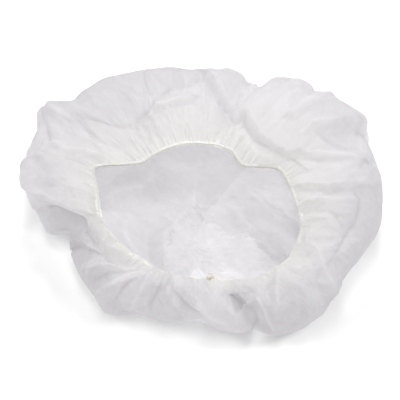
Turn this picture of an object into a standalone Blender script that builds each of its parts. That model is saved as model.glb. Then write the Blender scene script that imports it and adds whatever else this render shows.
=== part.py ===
"""A disposable bouffant cap of thin nonwoven cloth, lying on its crown with its elastic mouth up.

Metres, +Z up, +Y towards the cap's high back, +X to its right.
The origin is at the middle of the cap's outline, on the surface that the crown lies on.
Every section of the cloth stands in an upright plane through the mouth's axis.
Along a section the cloth runs through five landmarks:
0 the crown's middle, 1 where the cloth leaves the floor, 2 its widest point, 3 its crest, 4 the mouth's edge.
"""

import math
from collections import namedtuple

import bpy
import numpy as np

# Driving dimensions of the cloth
CAP_WIDTH = 0.280
CAP_DEPTH = 0.2115
CAP_HEIGHT = 0.088
WALL = 0.0012
MOUTH_WIDTH = 0.159
MOUTH_DEPTH = 0.0965
MOUTH_HEIGHT = 0.080
MOUTH_MIDDLE = (-0.0125 * CAP_WIDTH, -0.128 * CAP_DEPTH)
GATHER_DEPTH = 0.0013

# Driving dimensions of the mouth's edge
SEAT_GAP = 0.0003
HEM_WIDTH = 0.0034
HEM_THICKNESS = 0.0016
ELASTIC_DIAMETER = 0.0014
KNOT_DIAMETER = 0.0032
TAIL_LENGTH = 0.0085
KNOT_ANGLE = 283.0

# How far the cloth curls under, as a share of the widest point's height
CURL = 0.9
LEAST_CURL = 0.4

# How many times a table's steps are evened out
OUTLINE_SOFTENING = 1
HEIGHT_SOFTENING = 4
MOUTH_SOFTENING = 12
FOOT_SOFTENING = 60
CROWN_SOFTENING = 6

# Mesh density
SAMPLES = 96
RINGS = (
    (0.10, 0.20, 0.30, 0.42, 0.55, 0.70, 0.85, 1.00),
    (0.35, 0.70, 1.00),
    (0.25, 0.50, 0.75, 1.00),
    (0.20, 0.40, 0.58, 0.76, 0.92, 1.00),
)
FOLD_STEPS = 5
ELASTIC_SIDES = 6
KNOT_SIDES = 8

# One row for each lobe or notch of the outline, counterclockwise from the right.
# x and y place the widest point, as shares of half the cap's width and depth.
# widest and crest are the heights of landmarks 2 and 3, as shares of the cap's height.
# brow places the crest between the mouth, 0, and the outline, 1.
Section = namedtuple("Section", "x y widest crest brow")
SECTIONS = (
    Section(1.00, -0.05, 0.40, 0.82, 0.50),
    Section(0.99, 0.21, 0.46, 0.88, 0.55),
    Section(0.93, 0.42, 0.48, 0.84, 0.50),
    Section(0.95, 0.52, 0.52, 0.94, 0.62),
    Section(0.79, 0.70, 0.54, 0.96, 0.62),
    Section(0.66, 0.76, 0.54, 0.96, 0.60),
    Section(0.55, 0.89, 0.54, 0.98, 0.58),
    Section(0.42, 0.93, 0.54, 0.96, 0.50),
    Section(0.37, 0.83, 0.52, 0.90, 0.40),
    Section(0.31, 0.845, 0.50, 0.88, 0.35),
    Section(0.25, 0.94, 0.52, 0.92, 0.35),
    Section(0.16, 0.98, 0.54, 1.00, 0.38),
    Section(-0.06, 0.98, 0.54, 0.98, 0.45),
    Section(-0.18, 1.00, 0.54, 1.00, 0.45),
    Section(-0.42, 0.98, 0.54, 0.97, 0.38),
    Section(-0.57, 0.93, 0.52, 0.96, 0.32),
    Section(-0.76, 0.71, 0.50, 0.92, 0.45),
    Section(-0.89, 0.71, 0.56, 0.88, 0.60),
    Section(-0.93, 0.67, 0.50, 0.80, 0.50),
    Section(-0.90, 0.55, 0.50, 0.84, 0.50),
    Section(-0.95, 0.35, 0.46, 0.88, 0.55),
    Section(-1.00, 0.21, 0.44, 0.86, 0.55),
    Section(-0.95, 0.01, 0.40, 0.80, 0.50),
    Section(-0.85, -0.23, 0.30, 0.66, 0.45),
    Section(-0.71, -0.275, 0.28, 0.62, 0.30),
    Section(-0.72, -0.37, 0.30, 0.66, 0.35),
    Section(-0.66, -0.55, 0.26, 0.64, 0.50),
    Section(-0.57, -0.72, 0.22, 0.62, 0.45),
    Section(-0.52, -0.83, 0.18, 0.60, 0.45),
    Section(-0.35, -0.84, 0.22, 0.60, 0.40),
    Section(-0.01, -0.89, 0.22, 0.60, 0.40),
    Section(0.10, -0.96, 0.20, 0.60, 0.50),
    Section(0.19, -0.96, 0.20, 0.60, 0.50),
    Section(0.28, -0.90, 0.24, 0.60, 0.35),
    Section(0.43, -1.00, 0.20, 0.62, 0.50),
    Section(0.63, -0.91, 0.24, 0.66, 0.50),
    Section(0.69, -0.86, 0.25, 0.67, 0.50),
    Section(0.77, -0.675, 0.28, 0.70, 0.50),
    Section(0.87, -0.49, 0.31, 0.73, 0.50),
    Section(0.96, -0.31, 0.34, 0.76, 0.50),
)

# One row for each bend of the mouth's edge, counterclockwise from the right.
# x and y are shares of half the mouth's width and depth, and height is a share of the mouth's height.
MouthPoint = namedtuple("MouthPoint", "x y height")
MOUTH = (
    MouthPoint(0.98, 0.00, 0.690),
    MouthPoint(0.94, 0.23, 0.725),
    MouthPoint(0.90, 0.45, 0.760),
    MouthPoint(0.79, 0.75, 0.825),
    MouthPoint(0.61, 0.73, 0.840),
    MouthPoint(0.44, 0.73, 0.860),
    MouthPoint(0.38, 0.82, 0.910),
    MouthPoint(0.35, 0.90, 0.960),
    MouthPoint(0.20, 0.97, 0.990),
    MouthPoint(0.04, 1.00, 1.000),
    MouthPoint(-0.13, 0.98, 1.000),
    MouthPoint(-0.29, 0.91, 0.975),
    MouthPoint(-0.43, 0.83, 0.925),
    MouthPoint(-0.51, 0.75, 0.875),
    MouthPoint(-0.71, 0.73, 0.875),
    MouthPoint(-1.00, 0.70, 0.875),
    MouthPoint(-0.93, 0.47, 0.810),
    MouthPoint(-0.91, 0.21, 0.750),
    MouthPoint(-0.90, -0.01, 0.700),
    MouthPoint(-0.81, -0.24, 0.660),
    MouthPoint(-0.67, -0.47, 0.625),
    MouthPoint(-0.50, -0.66, 0.600),
    MouthPoint(-0.34, -0.81, 0.575),
    MouthPoint(-0.19, -0.89, 0.560),
    MouthPoint(-0.01, -0.94, 0.560),
    MouthPoint(0.18, -0.96, 0.560),
    MouthPoint(0.37, -1.00, 0.560),
    MouthPoint(0.56, -0.96, 0.560),
    MouthPoint(0.72, -0.81, 0.575),
    MouthPoint(0.85, -0.69, 0.600),
    MouthPoint(0.93, -0.45, 0.625),
    MouthPoint(0.99, -0.23, 0.650),
)

# One row for each main fold, from one place on the cloth to another, in degrees and landmarks.
# half_width and rise are shares of the cap's height, and a rise below 0 presses the cloth in.
Fold = namedtuple("Fold", "from_angle from_along to_angle to_along half_width rise")
FOLDS = (
    # The long crease across the back and the lobe that overhangs it
    Fold(86, 2.70, 66, 3.30, 0.18, -0.09),
    Fold(66, 3.30, 30, 3.80, 0.16, -0.08),
    Fold(80, 2.60, 51, 3.36, 0.24, 0.06),
    Fold(51, 3.36, 32, 3.62, 0.18, 0.05),
    # The right side
    Fold(31, 3.75, 17, 2.80, 0.14, 0.06),
    Fold(43, 3.30, 44, 2.30, 0.22, 0.06),
    Fold(30, 2.70, 27, 3.15, 0.28, -0.09),
    Fold(37, 3.10, 29, 3.55, 0.14, 0.04),
    Fold(15, 3.80, 10, 2.46, 0.14, 0.05),
    Fold(6, 3.90, 3, 3.20, 0.12, -0.05),
    Fold(355, 2.90, 345, 2.60, 0.36, -0.08),
    # The left of the back
    Fold(142, 3.20, 149, 3.85, 0.12, -0.06),
    Fold(153, 2.70, 154, 3.85, 0.15, 0.06),
    Fold(140, 3.05, 130, 3.30, 0.28, -0.09),
    Fold(126, 3.44, 114, 3.24, 0.18, 0.05),
    Fold(114, 3.24, 93, 3.10, 0.20, 0.05),
    # The left lobe's brow and the hollow under it
    Fold(168, 2.20, 176, 3.10, 0.18, 0.07),
    Fold(176, 3.10, 188, 3.50, 0.16, 0.07),
    Fold(174, 2.05, 182, 2.90, 0.20, -0.12),
    Fold(182, 2.90, 193, 3.35, 0.18, -0.11),
    # The lower left lobe
    Fold(197, 2.40, 206, 3.10, 0.20, -0.11),
    Fold(206, 3.10, 219, 3.75, 0.17, -0.09),
    Fold(216, 2.30, 224, 3.70, 0.16, 0.06),
    Fold(243, 3.70, 244, 2.40, 0.14, -0.05),
    # The front
    Fold(266, 2.75, 281, 2.45, 0.16, 0.05),
    Fold(281, 2.50, 295, 2.00, 0.20, 0.05),
    Fold(286, 3.60, 300, 2.30, 0.18, -0.11),
    Fold(325, 3.80, 310, 2.60, 0.13, 0.06),
    Fold(317, 3.80, 304, 2.50, 0.10, -0.06),
    Fold(321, 2.75, 341, 2.45, 0.22, 0.06),
    # The crown, whose cloth stands up off the floor inside the mouth
    Fold(94, 0.32, 32, 0.24, 0.36, -0.22),
    Fold(32, 0.24, 1, 0.50, 0.30, -0.14),
    Fold(94, 0.32, 145, 0.17, 0.36, -0.20),
    Fold(145, 0.17, 203, 0.28, 0.30, -0.12),
    Fold(68, 0.78, 32, 0.56, 0.24, -0.09),
    Fold(32, 0.56, 16, 0.72, 0.24, -0.09),
    Fold(124, 0.85, 104, 0.78, 0.24, -0.08),
)

# The knot, then the tail that bends up from it into the mouth.
# run goes along the elastic and dip across it, as shares of the tail's length.
# girth is a share of the knot's diameter.
KnotStep = namedtuple("KnotStep", "run dip climb girth")
KNOT = (
    KnotStep(-0.26, 0.00, 0.00, 0.45),
    KnotStep(-0.18, 0.00, 0.00, 0.85),
    KnotStep(0.00, 0.00, 0.00, 1.00),
    KnotStep(0.14, 0.02, 0.02, 0.85),
    KnotStep(0.24, 0.10, 0.08, 0.42),
    KnotStep(0.26, 0.30, 0.16, 0.34),
    KnotStep(0.18, 0.62, 0.18, 0.32),
    KnotStep(0.06, 0.90, 0.12, 0.30),
)


def place_angles(rows, width, depth, middle):
    """Angles and distances of a table's places, seen from the mouth's axis."""
    places = np.array([[row.x * width / 2, row.y * depth / 2] for row in rows]) + middle
    away = places - MOUTH_MIDDLE
    return np.unwrap(np.arctan2(away[:, 1], away[:, 0])), np.hypot(away[:, 0], away[:, 1])


def ring_of(angles, values, softening):
    """A table's values at each whole degree, in straight steps that are then softened."""
    turn = 2 * math.pi
    wanted = (np.radians(np.arange(360)) - angles[0]) % turn
    ring = np.interp(wanted, np.append(angles - angles[0], turn), np.append(values, values[0]))
    for _ in range(softening):
        ring = (np.roll(ring, 1) + 2 * ring + np.roll(ring, -1)) / 4
    return ring


def read_ring(ring, angle):
    return np.interp(np.degrees(angle), np.arange(360), ring, period=360)


def column(rows, name):
    return np.array([getattr(row, name) for row in rows])


def make_rings():
    """Every landmark's distance from the mouth's axis and height, at each whole degree."""
    angles, reaches = place_angles(SECTIONS, CAP_WIDTH, CAP_DEPTH, (0, 0))
    out = ring_of(angles, reaches, OUTLINE_SOFTENING)
    widest = ring_of(angles, column(SECTIONS, "widest"), HEIGHT_SOFTENING) * CAP_HEIGHT
    crest = ring_of(angles, column(SECTIONS, "crest"), HEIGHT_SOFTENING) * CAP_HEIGHT
    share = ring_of(angles, column(SECTIONS, "brow"), HEIGHT_SOFTENING)
    foot = ring_of(angles, reaches, FOOT_SOFTENING) - CURL * widest
    foot = np.minimum(foot, out - LEAST_CURL * widest)
    angles, reaches = place_angles(MOUTH, MOUTH_WIDTH, MOUTH_DEPTH, MOUTH_MIDDLE)
    edge = ring_of(angles, reaches, MOUTH_SOFTENING) + HEM_WIDTH / 2 + SEAT_GAP
    lip = ring_of(angles, column(MOUTH, "height"), MOUTH_SOFTENING) * MOUTH_HEIGHT
    brow = edge + share * (out - edge)
    return foot, out, widest, brow, crest, edge, lip


LANDMARKS = make_rings()


def section_angles():
    """Evenly spaced angles, each moved onto a table row's own angle where it is the nearest one."""
    angles, _ = place_angles(SECTIONS, CAP_WIDTH, CAP_DEPTH, (0, 0))
    even = np.arange(SAMPLES) * 2 * math.pi / SAMPLES
    for angle in angles % (2 * math.pi):
        even[np.argmin(np.abs(even - angle))] = angle
    return even


def cloth_point(angle, along):
    """The cloth before it is folded: floor, two quarter ellipses and a top that dips to the mouth."""
    foot, out, widest, brow, crest, edge, lip = (read_ring(ring, angle) for ring in LANDMARKS)
    low = np.clip(along - 1, 0, 1) * math.pi / 2
    high = np.clip(along - 2, 0, 1) * math.pi / 2
    top = np.clip(along - 3, 0, 1)
    stretches = (along <= 1, along <= 2, along <= 3)
    distance = np.select(
        stretches,
        (foot * along, foot + (out - foot) * np.sin(low), brow + (out - brow) * np.cos(high)),
        brow + (edge - brow) * top,
    )
    height = np.select(
        stretches,
        (0 * along, widest * (1 - np.cos(low)), widest + (crest - widest) * np.sin(high)),
        crest + (lip - crest) * top**2,
    )
    x = MOUTH_MIDDLE[0] + distance * np.cos(angle)
    y = MOUTH_MIDDLE[1] + distance * np.sin(angle)
    return np.stack([x, y, height], axis=-1)


def unit(vectors):
    return vectors / np.linalg.norm(vectors, axis=-1, keepdims=True)


def cloth_normal(angle, along, reach=0.01):
    """The way the unfolded cloth faces outwards, judged over a reach to each side."""
    round_it = cloth_point(angle + reach, along) - cloth_point(angle - reach, along)
    up_it = cloth_point(angle, np.minimum(along + reach, 4)) - cloth_point(angle, along - reach)
    return unit(np.cross(round_it, up_it))


def fold_lift(points, fold):
    """How far a fold moves each point: a straight ridge, gone half_width away from its line."""
    step = np.linspace(0, 1, FOLD_STEPS)
    angle = np.radians(fold.from_angle + (fold.to_angle - fold.from_angle) * step)
    along = fold.from_along + (fold.to_along - fold.from_along) * step
    line = cloth_point(angle, along)
    run = line[1:] - line[:-1]
    away = points[..., None, :] - line[:-1]
    share = np.clip((away * run).sum(axis=-1) / (run * run).sum(axis=-1), 0, 1)
    distance = np.linalg.norm(away - share[..., None] * run, axis=-1)
    fade = np.clip(1 - distance.min(axis=-1) / (fold.half_width * CAP_HEIGHT), 0, 1)
    return fold.rise * CAP_HEIGHT * fade


def gather_lift(sample, along):
    """Pleats that the elastic draws in, between the crest and the mouth's edge."""
    wave = np.where(sample % 2 == 0, 1, -1) * (0.7 + 0.3 * np.sin(2.1 * sample))
    return GATHER_DEPTH * wave * np.sin(math.pi * np.clip((along - 3.1) / 0.82, 0, 1))


def cloth_grid():
    """Rings of points on the cloth's outer face, from near the crown's middle to the mouth."""
    along = np.concatenate([start + np.array(shares) for start, shares in enumerate(RINGS)])
    along, angle = np.broadcast_arrays(along[:, None], section_angles())
    points = cloth_point(angle, along)
    lifts = np.array([fold_lift(points, fold) for fold in FOLDS])
    lift = lifts.clip(0, None).max(axis=0) + lifts.clip(None, 0).min(axis=0)
    soft = lift
    for _ in range(CROWN_SOFTENING):
        soft = (np.roll(soft, 1, axis=1) + 2 * soft + np.roll(soft, -1, axis=1)) / 4
    lift = np.where(along < 1, soft, lift)
    lift = lift * np.clip((3.92 - along) / 0.35, 0, 1) + gather_lift(np.arange(SAMPLES), along)
    points = points + cloth_normal(angle, along) * lift[..., None]
    points[..., 2] = points[..., 2].clip(0, None)
    return points


def mesh_object(name, points, faces, finish):
    mesh = bpy.data.meshes.new(name)
    mesh.from_pydata([tuple(point) for point in points], [], faces)
    mesh.materials.append(finish)
    mesh.update()
    made = bpy.data.objects.new(name, mesh)
    bpy.context.scene.collection.objects.link(made)
    return made


def material(name, colour, roughness):
    made = bpy.data.materials.new(name)
    made.use_nodes = True
    shader = made.node_tree.nodes["Principled BSDF"]
    shader.inputs["Base Color"].default_value = (*colour, 1)
    shader.inputs["Roughness"].default_value = roughness
    shader.inputs["Metallic"].default_value = 0
    return made


def tube(name, sections, closed, finish):
    """A run of sections with the same number of points round: joined into a ring, or with flat ends."""
    count, sides, _ = sections.shape
    faces = []
    if not closed:
        faces.append(tuple(reversed(range(sides))))
        faces.append(tuple(range((count - 1) * sides, count * sides)))
    for step in range(count if closed else count - 1):
        here = step * sides
        there = (step + 1) % count * sides
        for side in range(sides):
            beside = (side + 1) % sides
            faces.append((here + side, here + beside, there + beside, there + side))
    return mesh_object(name, sections.reshape(-1, 3), faces, finish)


def make_cloth():
    """The whole cloth as one wall: its outer face, with its thickness added inwards."""
    grid = cloth_grid()
    rings = len(grid)
    middle = grid[0].mean(axis=0)
    points = np.vstack([grid.reshape(-1, 3), [middle]])
    faces = []
    for sample in range(SAMPLES):
        beside = (sample + 1) % SAMPLES
        faces.append((rings * SAMPLES, beside, sample))
        for ring in range(rings - 1):
            low = ring * SAMPLES
            high = low + SAMPLES
            faces.append((low + sample, low + beside, high + beside, high + sample))
    cloth = mesh_object("cap_cloth", points, faces, material("nonwoven", (0.86, 0.86, 0.87), 0.75))
    wall = cloth.modifiers.new("wall", "SOLIDIFY")
    wall.thickness = WALL
    wall.offset = -1


def mouth_frame(angle):
    """Along the hem's middle: its place, the way the cloth runs out into it, and the way it faces."""
    edge = cloth_point(angle, 4.0)
    facing = cloth_normal(angle, 4.0, 0.08)
    run_out = edge - cloth_point(angle, 3.9)
    run_out = unit(run_out - (run_out * facing).sum(axis=-1, keepdims=True) * facing)
    middle = edge - facing * WALL / 2 + run_out * (SEAT_GAP + HEM_WIDTH / 2)
    return middle, run_out, facing


def ring_sections(angle, outline, raise_by):
    """An outline, given in the run-out and facing directions, at each place along the mouth."""
    middle, run_out, facing = mouth_frame(angle)
    middle = middle + facing * raise_by
    across, up = np.array(outline).T
    return (
        middle[:, None]
        + run_out[:, None] * across[None, :, None]
        + facing[:, None] * up[None, :, None]
    )


def round_outline(diameter, sides):
    turn = np.arange(sides) * 2 * math.pi / sides
    return np.stack([np.cos(turn), np.sin(turn)], axis=-1) * diameter / 2


def make_hem():
    """The band of turned cloth that the elastic is sewn to."""
    shares = ((-0.5, 0), (-0.38, -0.5), (0.38, -0.5), (0.5, 0), (0.38, 0.5), (-0.38, 0.5))
    outline = [(across * HEM_WIDTH, up * HEM_THICKNESS) for across, up in shares]
    tube("hem_band", ring_sections(section_angles(), outline, 0), True, material("hem", (0.88, 0.88, 0.84), 0.8))


def make_elastic(finish):
    """The elastic on the hem, from one side of its knot all the way round to the other."""
    middle, _, _ = mouth_frame(np.radians(KNOT_ANGLE + np.array([-1, 1])))
    degrees_per_metre = 2 / np.linalg.norm(middle[1] - middle[0])
    half = (TAIL_LENGTH * 0.28 + SEAT_GAP) * degrees_per_metre
    turned = (np.degrees(section_angles()) - KNOT_ANGLE) % 360
    between = np.sort(turned[(turned > half + 1) & (turned < 359 - half)])
    angle = np.radians(KNOT_ANGLE + np.concatenate([[half], between, [360 - half]]))
    seat = HEM_THICKNESS / 2 + 1.5 * SEAT_GAP + ELASTIC_DIAMETER / 2
    outline = round_outline(ELASTIC_DIAMETER, ELASTIC_SIDES)
    tube("elastic", ring_sections(angle, outline, seat), False, finish)


def make_knot(finish):
    """The knot that joins the elastic's ends, with its free tail."""
    angle = np.radians(np.array([KNOT_ANGLE - 1, KNOT_ANGLE, KNOT_ANGLE + 1]))
    middle, run_out, facing = mouth_frame(angle)
    along = unit(middle[2] - middle[0])
    start = middle[1] + facing[1] * (HEM_THICKNESS / 2 + SEAT_GAP + KNOT_DIAMETER / 2)
    steps = np.array([[step.run, step.dip, step.climb] for step in KNOT]) * TAIL_LENGTH
    path = start + steps @ np.stack([along, run_out[1], facing[1]])
    heading = unit(np.gradient(path, axis=0))
    side = unit(np.cross(facing[1], heading))
    up = np.cross(heading, side)
    girth = column(KNOT, "girth")[:, None, None]
    across, rise = round_outline(KNOT_DIAMETER, KNOT_SIDES).T
    sections = path[:, None] + girth * (
        side[:, None] * across[None, :, None] + up[:, None] * rise[None, :, None]
    )
    tube("elastic_knot", sections, False, finish)


def build():
    for old in list(bpy.data.objects):
        bpy.data.objects.remove(old)
    make_cloth()
    make_hem()
    rubber = material("elastic", (0.83, 0.79, 0.62), 0.55)
    make_elastic(rubber)
    make_knot(rubber)


build()
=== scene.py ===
"""Looks of the disposable bouffant cap: crumpled nonwoven, a gathered hem, its elastic and the knot.

Metres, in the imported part's frame: +Z up, -Y towards the mouth's low edge, which faces the camera.
The cloth repeats the part's own form, from the same named sizes and tables, and then crumples it.
Along a section the cloth runs through five landmarks: 0 the crown's middle, 1 where it leaves the
floor, 2 its widest place, 3 its crest and 4 the mouth's edge. A place between two landmarks is a share
of the way, so that 3.5 is halfway from the crest to the mouth.
"""

import math
from collections import namedtuple

import bpy
import numpy as np
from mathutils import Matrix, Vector


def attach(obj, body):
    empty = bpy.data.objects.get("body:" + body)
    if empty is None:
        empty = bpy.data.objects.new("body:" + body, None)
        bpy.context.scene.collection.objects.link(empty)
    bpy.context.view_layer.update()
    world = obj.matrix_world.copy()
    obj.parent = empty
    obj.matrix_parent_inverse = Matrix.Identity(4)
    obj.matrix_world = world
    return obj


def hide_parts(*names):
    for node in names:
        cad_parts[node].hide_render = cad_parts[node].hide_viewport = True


# The part's sizes
CAP_WIDTH = 0.280
CAP_DEPTH = 0.2115
CAP_HEIGHT = 0.088
WALL = 0.0012
MOUTH_WIDTH = 0.159
MOUTH_DEPTH = 0.0965
MOUTH_HEIGHT = 0.080
MOUTH_MIDDLE = (-0.0125 * CAP_WIDTH, -0.128 * CAP_DEPTH)
SEAT_GAP = 0.0003
HEM_WIDTH = 0.0034
KNOT_ANGLE = 283.0

# The last landmark, and close places along a whole section
EDGE = 4.0
FINE_RUN = np.linspace(0, EDGE, 401)

# How far the cloth curls in under its widest place, and at least, in shares of that place's height
CURL = 0.9
LEAST_CURL = 0.4

# How many times the values of each table are softened
OUTLINE_SOFTENING = 1
HEIGHT_SOFTENING = 4
MOUTH_SOFTENING = 12
FOOT_SOFTENING = 60

# The real cloth, its hem and its threads
HEM_THICKNESS = 0.0011
THREAD_DIAMETER = 0.0009
KNOT_THREAD = 0.0012
STITCH_PITCH = 0.0024
STITCH_THREAD = 0.00032

# The hem's cross-section, in hem widths and thicknesses: rounded edges and a slight hollow on top
HEM_OUTLINE = (
    (-0.62, -0.15), (-0.55, 0.25), (-0.30, 0.50), (0.00, 0.42), (0.28, 0.50),
    (0.46, 0.28), (0.52, -0.05), (0.42, -0.40), (0.00, -0.55), (-0.50, -0.50),
)
HEM_STEPS = 1300

# The waves that the gathered hem stands in: how many go round and their shares, how much they wander,
# how far they lift the hem and push its outer edge, and the seeds of both
RUFFLES = ((61, 0.35), (128, 0.45), (211, 0.30))
RUFFLE_WANDER = 2.5
RUFFLE_LIFT = 0.00035
RUFFLE_PUSH = 0.00045
TOP_RUFFLE = 31
RIM_RUFFLE = 37

# The elastic: its steps round the mouth, how far it sways, how far a stitch pulls it, and how high its
# middle lies, in hem thicknesses and its own diameters
ELASTIC_STEPS = 900
ELASTIC_SWAY = 0.00035
STITCH_PULL = 0.00012
ELASTIC_SEAT = 0.45
ELASTIC_RISE = 0.42
ELASTIC_SEED = 51

# One overlock stitch: its steps, how far it swings to each side in hem widths, how high it lies in hem
# thicknesses, how high and how wide it arches over the elastic in diameters, and the share of that
# height on its way back
STITCH_STEPS = 10
STITCH_SWING = 0.44
STITCH_CORNER = 0.04
STITCH_SEAT = 0.5
STITCH_RISE = 0.95
STITCH_SPAN = 0.75
WAY_BACK = 0.25

# The knot's winding, a trefoil, and its free tail, whose places are shares of its length
KNOT_RADIUS = 0.00150
KNOT_LOOP = 0.00070
KNOT_STRETCH = 1.25
KNOT_RISE = 0.00055
TAIL_LENGTH = 0.0085
TAIL_PLACES = (
    (0.10, 0.06, 0.02), (0.22, 0.14, 0.10), (0.27, 0.32, 0.17),
    (0.20, 0.58, 0.19), (0.10, 0.80, 0.16), (0.05, 0.98, 0.11),
)
TAIL_SOFTENING = 12

# Rings of the cloth's mesh: from landmark, to landmark, how many rings, points round each ring
RINGS = (
    (0.05, 0.40, 14, 180),
    (0.40, 1.00, 26, 360),
    (1.00, 2.00, 24, 720),
    (2.00, 3.00, 36, 720),
    (3.00, 4.00, 46, 720),
)

# Sections round the cap: the outline's place in half widths and half depths of the cap, the heights of
# its widest place and its crest in cap heights, and how far out from the mouth the crest stands, as a
# share of the way to the outline
Section = namedtuple("Section", "x y widest crest brow")
SECTIONS = [Section(*row) for row in (
    (1.00, -0.05, 0.40, 0.82, 0.50),
    (0.99, 0.21, 0.46, 0.88, 0.55),
    (0.93, 0.42, 0.48, 0.84, 0.50),
    (0.95, 0.52, 0.52, 0.94, 0.62),
    (0.79, 0.70, 0.54, 0.96, 0.62),
    (0.66, 0.76, 0.54, 0.96, 0.60),
    (0.55, 0.89, 0.54, 0.98, 0.58),
    (0.42, 0.93, 0.54, 0.96, 0.50),
    (0.37, 0.83, 0.52, 0.90, 0.40),
    (0.31, 0.845, 0.50, 0.88, 0.35),
    (0.25, 0.94, 0.52, 0.92, 0.35),
    (0.16, 0.98, 0.54, 1.00, 0.38),
    (-0.06, 0.98, 0.54, 0.98, 0.45),
    (-0.18, 1.00, 0.54, 1.00, 0.45),
    (-0.42, 0.98, 0.54, 0.97, 0.38),
    (-0.57, 0.93, 0.52, 0.96, 0.32),
    (-0.76, 0.71, 0.50, 0.92, 0.45),
    (-0.89, 0.71, 0.56, 0.88, 0.60),
    (-0.93, 0.67, 0.50, 0.80, 0.50),
    (-0.90, 0.55, 0.50, 0.84, 0.50),
    (-0.95, 0.35, 0.46, 0.88, 0.55),
    (-1.00, 0.21, 0.44, 0.86, 0.55),
    (-0.95, 0.01, 0.40, 0.80, 0.50),
    (-0.85, -0.23, 0.30, 0.66, 0.45),
    (-0.71, -0.275, 0.28, 0.62, 0.30),
    (-0.72, -0.37, 0.30, 0.66, 0.35),
    (-0.66, -0.55, 0.26, 0.64, 0.50),
    (-0.57, -0.72, 0.22, 0.62, 0.45),
    (-0.52, -0.83, 0.18, 0.60, 0.45),
    (-0.35, -0.84, 0.22, 0.60, 0.40),
    (-0.01, -0.89, 0.22, 0.60, 0.40),
    (0.10, -0.96, 0.20, 0.60, 0.50),
    (0.19, -0.96, 0.20, 0.60, 0.50),
    (0.28, -0.90, 0.24, 0.60, 0.35),
    (0.43, -1.00, 0.20, 0.62, 0.50),
    (0.63, -0.91, 0.24, 0.66, 0.50),
    (0.69, -0.86, 0.25, 0.67, 0.50),
    (0.77, -0.675, 0.28, 0.70, 0.50),
    (0.87, -0.49, 0.31, 0.73, 0.50),
    (0.96, -0.31, 0.34, 0.76, 0.50),
)]

# The mouth's edge, in half widths, half depths and heights of the mouth
MouthPoint = namedtuple("MouthPoint", "x y height")
MOUTH = [MouthPoint(*row) for row in (
    (0.98, 0.00, 0.690),
    (0.94, 0.23, 0.725),
    (0.90, 0.45, 0.760),
    (0.79, 0.75, 0.825),
    (0.61, 0.73, 0.840),
    (0.44, 0.73, 0.860),
    (0.38, 0.82, 0.910),
    (0.35, 0.90, 0.960),
    (0.20, 0.97, 0.990),
    (0.04, 1.00, 1.000),
    (-0.13, 0.98, 1.000),
    (-0.29, 0.91, 0.975),
    (-0.43, 0.83, 0.925),
    (-0.51, 0.75, 0.875),
    (-0.71, 0.73, 0.875),
    (-1.00, 0.70, 0.875),
    (-0.93, 0.47, 0.810),
    (-0.91, 0.21, 0.750),
    (-0.90, -0.01, 0.700),
    (-0.81, -0.24, 0.660),
    (-0.67, -0.47, 0.625),
    (-0.50, -0.66, 0.600),
    (-0.34, -0.81, 0.575),
    (-0.19, -0.89, 0.560),
    (-0.01, -0.94, 0.560),
    (0.18, -0.96, 0.560),
    (0.37, -1.00, 0.560),
    (0.56, -0.96, 0.560),
    (0.72, -0.81, 0.575),
    (0.85, -0.69, 0.600),
    (0.93, -0.45, 0.625),
    (0.99, -0.23, 0.650),
)]

# The ridge across the crown, and the flat facet before it, finely wrinkled, in degrees and landmarks
CROWN_RIDGE = ((94, 0.30), (48, 0.16), (7, 0.20), (359, 0.38))
CROWN_FACET = (
    *CROWN_RIDGE, (345, 0.62), (300, 0.62), (262, 0.60), (225, 0.50), (198, 0.34), (145, 0.16),
)

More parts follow.
